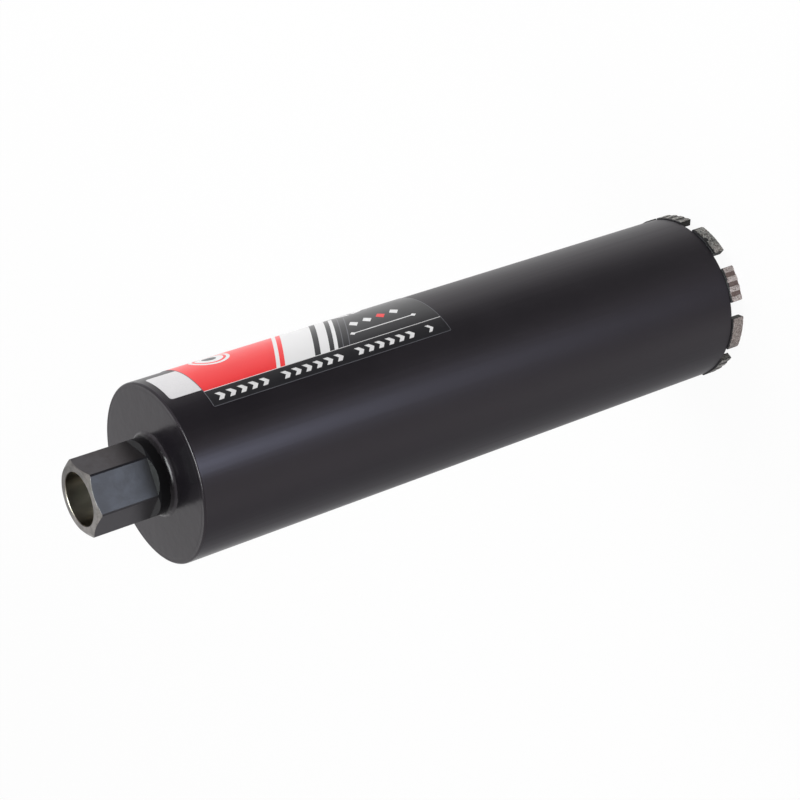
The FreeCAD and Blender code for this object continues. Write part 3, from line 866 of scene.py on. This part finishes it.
class COREBIT_OT_barrel(bpy.types.Operator):
    """Steel tube with a rounded upper edge, the disc that closes it and the ground seam between them"""
    bl_idname = "core_bit.barrel"
    bl_label = "Barrel"

    def execute(self, context):
        size = context.scene.core_bit_barrel
        hub = context.scene.core_bit_hub
        enamel = enamel_material(context.scene.core_bit_finish, size, hub)
        bore = size.radius - size.wall
        low = size.face - size.seam_leg
        tube = turned("barrel_shell", [
            (bore, size.rim), (size.radius, size.rim), (size.radius, size.face),
            (bore + size.seam_leg, size.face), (bore, low)], size.steps)
        edit(tube)
        pick(tube, "edges", lambda middle: abs(middle.z - size.face) < NEAR
             and middle.xy.length > size.radius - 5 * NEAR)
        bpy.ops.mesh.bevel(offset=size.edge_round, segments=6)
        leave_edit()
        break_edges(tube, size.small_round)
        finish(tube, enamel, "black_paint", "barrel_tube")

        rim = bore - size.clearance
        hole = hub.spigot_radius + size.clearance
        plate = turned("end_disc", [
            (hole, size.plate_back), (rim, size.plate_back), (rim, low),
            (rim - size.seam_leg, size.face), (hole, size.face)], size.steps)
        break_edges(plate, size.plate_round)
        finish(plate, enamel, "black_paint", "end_plate")

        # The bead laps a little over tube and plate, and its middle is ground a little lower
        lap = 0.02 * MM
        dip = 0.03 * MM
        high = size.face - size.seam_sink
        seam = turned("seam_bead", [
            (rim - lap, low), (bore + lap, low), (bore + size.seam_leg, high),
            (bore, high - dip), (rim - size.seam_leg, high)], size.steps)
        finish(seam, enamel, "black_paint", "plate_weld")
        return {"FINISHED"}


class COREBIT_OT_hub(bpy.types.Operator):
    """Hub with its milled flats, the thread in its bore and the weld at its foot"""
    bl_idname = "core_bit.hub"
    bl_label = "Hub"

    def execute(self, context):
        barrel = context.scene.core_bit_barrel
        size = context.scene.core_bit_hub
        steel = hub_steel_material(context.scene.core_bit_finish, barrel, size)
        self.body(size, barrel, steel)
        self.thread(size, barrel, steel)
        self.weld(size, barrel, bpy.data.materials["black_stoving_enamel"])
        return {"FINISHED"}

    def body(self, size, barrel, steel):
        """Turned bar with its bore, then the flats, each cut with a slanted lower end."""
        chamfer_low = size.end - (size.bar_radius - size.face_radius) * math.tan(size.chamfer)
        floor = size.end - size.mouth_depth
        hub = turned("hub_body", [
            (size.root_radius, barrel.plate_back), (size.spigot_radius, barrel.plate_back),
            (size.spigot_radius, barrel.face), (size.bar_radius, barrel.face),
            (size.bar_radius, chamfer_low), (size.face_radius, size.end),
            (size.mouth_radius + size.mouth_chamfer, size.end),
            (size.mouth_radius, size.end - size.mouth_chamfer), (size.mouth_radius, floor),
            (size.root_radius, floor - (size.mouth_radius - size.root_radius))], size.steps)
        beyond = size.bar_radius + CUT_PAST
        flat = size.across_flats / 2
        low = barrel.face + size.flats_start
        high = size.end + CUT_PAST
        deselect()
        bpy.ops.mesh.primitive_cube_add(size=1, location=(0, -(flat + beyond) / 2, (low + high) / 2),
                                        scale=(2 * beyond, beyond - flat, high - low))
        cutter = named("flat_cutter")
        edit(cutter)
        pick(cutter, "edges", lambda middle: middle.z < low + NEAR and middle.y < NEAR - beyond)
        bpy.ops.transform.translate(value=(0, 0, -(beyond - flat) / math.tan(size.runout)))
        leave_edit()
        for _ in range(size.flats):
            cut_away(hub, cutter)
            only(cutter)
            turn_round(cutter, 2 * math.pi / size.flats)
        discard(cutter)
        break_edges(hub, size.small_round, segments=3, sharper_than=20)
        finish(hub, steel, "hub_steel", "hub", smooth=24)

    def thread(self, size, barrel, steel):
        """Ridge of the internal thread, right-handed, trimmed by the lead-in cones at both ends."""
        # The ridge is sunk a little into the wall, and its crest is flat for about a quarter of the pitch
        height = size.root_radius - size.crest_radius + 0.06 * MM
        crest = size.pitch / 4 + 0.11 * MM
        base = crest + 2 * height * math.tan(THREAD_FLANK)
        low = barrel.plate_back + base / 2
        mouth = size.end - size.mouth_depth
        rise = mouth - base / 2 - low
        turns = rise / size.pitch
        deselect()
        bpy.ops.mesh.primitive_plane_add(size=1, rotation=(math.pi / 2, 0, 0),
                                         location=(size.crest_radius + height / 2, 0, low))
        ridge = named("hub_thread", (height, crest, 1))
        edit(ridge)
        pick(ridge, "edges", lambda middle: middle.x > size.crest_radius + 0.9 * height)
        bpy.ops.transform.resize(value=(1, 1, base / crest), center_override=(0, 0, low))
        bpy.ops.mesh.select_all(action="SELECT")
        bpy.ops.mesh.delete(type="ONLY_FACE")
        leave_edit()
        steps = round(THREAD_STEPS * turns)
        modify(ridge, "SCREW", axis="Z", angle=2 * math.pi * turns, screw_offset=rise,
               steps=steps, render_steps=steps, use_merge_vertices=True)
        edit(ridge)
        bpy.ops.mesh.select_all(action="SELECT")
        bpy.ops.mesh.fill_holes(sides=4)
        tidy_normals()
        leave_edit()
        # Cones of 45 degrees that cut the ridge back, larger than the cut by a reach
        inner = 10 * MM
        reach = 0.6 * MM
        wide = 1.6 * MM
        front = mouth - (size.mouth_radius - size.crest_radius)
        back = barrel.plate_back + 1 * MM
        for name, (low_radius, low), (high_radius, high) in (
                ("top_reamer", (size.crest_radius - reach, front - reach),
                 (size.mouth_radius + reach, mouth + reach)),
                ("back_reamer", (size.crest_radius + wide, back - wide),
                 (size.crest_radius - reach, back + reach))):
            reamer = turned(name, [(inner, low), (low_radius, low), (high_radius, high), (inner, high)],
                            THREAD_STEPS)
            cut_away(ridge, reamer)
            discard(reamer)
        break_edges(ridge, size.crest_round)
        finish(ridge, steel, "hub_steel", smooth=30)

    def weld(self, size, barrel, enamel):
        """Fillet with a hollow face, brushed smooth."""
        leg = size.weld_leg
        rise = size.weld_height
        chord = Vector((-leg, rise))
        middle = Vector((size.bar_radius + leg / 2, barrel.face + rise / 2))
        outward = Vector((rise, leg)).normalized()
        centre = middle + outward * math.sqrt(size.weld_hollow ** 2 - (chord.length / 2) ** 2)
        start = Vector((size.bar_radius + leg, barrel.face)) - centre
        end = Vector((size.bar_radius, barrel.face + rise)) - centre
        sweep = start.angle_signed(end)
        steps = 8
        arc = [centre + Matrix.Rotation(-sweep * step / steps, 2) @ start for step in range(steps + 1)]
        inside = size.bar_radius - 0.1 * MM
        weld = turned("hub_bead", [(inside, barrel.face), *arc, (inside, barrel.face + rise)], barrel.steps)
        roughen(weld, "weld_grain", size.weld_grain, 1, size.weld_relief)
        finish(weld, enamel, "black_paint", "hub_weld")


class COREBIT_OT_crown(bpy.types.Operator):
    """Ten segments, every other one grooved outside and the rest inside"""
    bl_idname = "core_bit.crown"
    bl_label = "Crown"

    def execute(self, context):
        barrel = context.scene.core_bit_barrel
        size = context.scene.core_bit_crown
        sinter = sinter_material(context.scene.core_bit_finish, barrel, size)
        patterns = [self.pattern(size, barrel, grooved_outside) for grooved_outside in (True, False)]
        for index in range(size.segments):
            only(patterns[index % 2])
            bpy.ops.object.duplicate()
            bpy.context.object.rotation_euler.z = 2 * math.pi * index / size.segments - math.pi / 2
            segment = named(f"crown_block_{index + 1:02d}")
            roughen(segment, "sinter_grain", size.grain, 3, size.grit)
            finish(segment, sinter, "sintered_segment", f"segment_{index + 1:02d}", even=False)
        for pattern in patterns:
            discard(pattern)
        return {"FINISHED"}

    def pattern(self, size, barrel, grooved_outside):
        """Segment with its middle on +X."""
        outer = barrel.radius + size.overhang
        inner = outer - size.thickness
        sweep = size.length / outer
        deselect()
        bpy.ops.mesh.primitive_plane_add(size=1, rotation=(math.pi / 2, 0, 0),
                                         location=((outer + inner) / 2, 0, barrel.rim / 2))
        block = named("block_pattern", (size.thickness, barrel.rim, 1))
        edit(block)
        bpy.ops.mesh.select_all(action="SELECT")
        bpy.ops.mesh.spin(steps=32, angle=sweep, center=(0, 0, 0), axis=(0, 0, 1))
        tidy_normals()
        leave_edit()
        reach = max(vertex.co.y for vertex in block.data.vertices)
        half = sweep / 2
        turn_round(block, -half if reach > outer * math.sin(sweep) / 2 else half)
        within = 10 * NEAR
        edit(block)
        pick(block, "edges", lambda middle: middle.z < NEAR
             and abs(abs(math.atan2(middle.y, middle.x)) - half) * outer < NEAR
             and inner + within < middle.xy.length < outer - within)
        bpy.ops.mesh.bevel(offset=size.sharp_corner if grooved_outside else size.soft_corner, segments=4)
        pick(block, "edges", lambda middle: abs(middle.z - barrel.rim) < NEAR
             and not inner + within <= middle.xy.length <= outer - within)
        bpy.ops.mesh.bevel(offset=size.shoulder, segments=2)
        leave_edit()
        wall = outer - size.groove_depth if grooved_outside else inner - CUT_PAST
        depth = size.groove_depth + CUT_PAST
        tall = barrel.rim - size.foot
        pitch = (size.length + size.groove_width) / (size.groove_count + 1) / outer
        for index in range(size.groove_count):
            deselect()
            bpy.ops.mesh.primitive_cube_add(size=1, scale=(depth, size.groove_width, tall + CUT_PAST),
                                            location=(wall + depth / 2, 0, (tall - CUT_PAST) / 2))
            cutter = named("groove_cutter")
            turn_round(cutter, (index - (size.groove_count - 1) / 2) * pitch)
            cut_away(block, cutter)
            discard(cutter)
        modify(block, "REMESH", mode="VOXEL", voxel_size=size.voxel)
        modify(block, "SMOOTH", factor=0.5, iterations=2)
        return block


class COREBIT_OT_labels(bpy.types.Operator):
    """Printed label and small white sticker, both wrapped on the barrel"""
    bl_idname = "core_bit.labels"
    bl_label = "Labels"

    def execute(self, context):
        barrel = context.scene.core_bit_barrel
        size = context.scene.core_bit_labels
        colours = context.scene.core_bit_finish
        label = self.wrapped("label_foil", size, barrel, size.label_gap, size.label_length,
                             size.label_width, size.label_edge, size.label_corner, strips=84,
                             rounded_to=size.label_length)
        finish(label, print_material(colours, size), "printed_label", "main_label", smooth=30)
        # The sticker is cut square where it meets the label
        sticker_length = size.label_gap - size.sticker_gap - size.sticker_join
        sticker = self.wrapped("sticker_foil", size, barrel, size.sticker_gap, sticker_length,
                               size.sticker_width, size.sticker_edge, size.sticker_corner, strips=12,
                               rounded_to=0)
        finish(sticker, paper_material(colours), "white_sticker", "size_sticker", smooth=30)
        return {"FINISHED"}

    def wrapped(self, name, size, barrel, gap, length, width, edge, corner, strips, rounded_to):
        """Sheet cut flat, its corners rounded as far as a length, then wrapped round the barrel."""
        deselect()
        bpy.ops.mesh.primitive_grid_add(x_subdivisions=2, y_subdivisions=strips, size=1, calc_uvs=True,
                                        location=(length / 2, width / 2, 0))
        sheet = named(name, (length, width, 1))
        edit(sheet)
        pick(sheet, "verts", lambda place: min(place.x, length - place.x) < NEAR
             and min(place.y, width - place.y) < NEAR and place.x < rounded_to + NEAR)
        bpy.ops.mesh.bevel(offset=corner, segments=5, affect="VERTICES")
        leave_edit()
        for vertex in sheet.data.vertices:
            around = edge + vertex.co.y / size.back_radius
            vertex.co = (size.face_radius * math.cos(around), size.face_radius * math.sin(around),
                         barrel.face - gap - vertex.co.x)
        modify(sheet, "SOLIDIFY", thickness=size.foil, offset=-1, use_even_offset=False)
        return sheet


class COREBIT_PT_panel(bpy.types.Panel):
    """Sizes, colours and pieces of the core bit"""
    bl_idname = "COREBIT_PT_panel"
    bl_label = "Core bit"
    bl_space_type = "VIEW_3D"
    bl_region_type = "UI"
    bl_category = "Core bit"

    def draw(self, context):
        for name, group in SETTINGS.items():
            box = self.layout.box()
            box.label(text=group.__doc__)
            for field in group.__annotations__:
                box.prop(getattr(context.scene, name), field)
        for operator in OPERATORS:
            self.layout.operator(operator.bl_idname)


SETTINGS = {
    "core_bit_barrel": CoreBitBarrel,
    "core_bit_hub": CoreBitHub,
    "core_bit_crown": CoreBitCrown,
    "core_bit_labels": CoreBitLabels,
    "core_bit_finish": CoreBitFinish,
    "core_bit_stage": CoreBitStage,
}
OPERATORS = [COREBIT_OT_stage, COREBIT_OT_barrel, COREBIT_OT_hub, COREBIT_OT_crown, COREBIT_OT_labels]


def register():
    for item in [*SETTINGS.values(), *OPERATORS, COREBIT_PT_panel]:
        bpy.utils.register_class(item)
    for name, group in SETTINGS.items():
        setattr(bpy.types.Scene, name, bpy.props.PointerProperty(type=group))


def unregister():
    for name in SETTINGS:
        delattr(bpy.types.Scene, name)
    for item in reversed([*SETTINGS.values(), *OPERATORS, COREBIT_PT_panel]):
        bpy.utils.unregister_class(item)


def main():
    register()
    bpy.ops.core_bit.stage()
    bpy.ops.core_bit.barrel()
    bpy.ops.core_bit.hub()
    bpy.ops.core_bit.crown()
    bpy.ops.core_bit.labels()


if __name__ == "__main__":
    main()
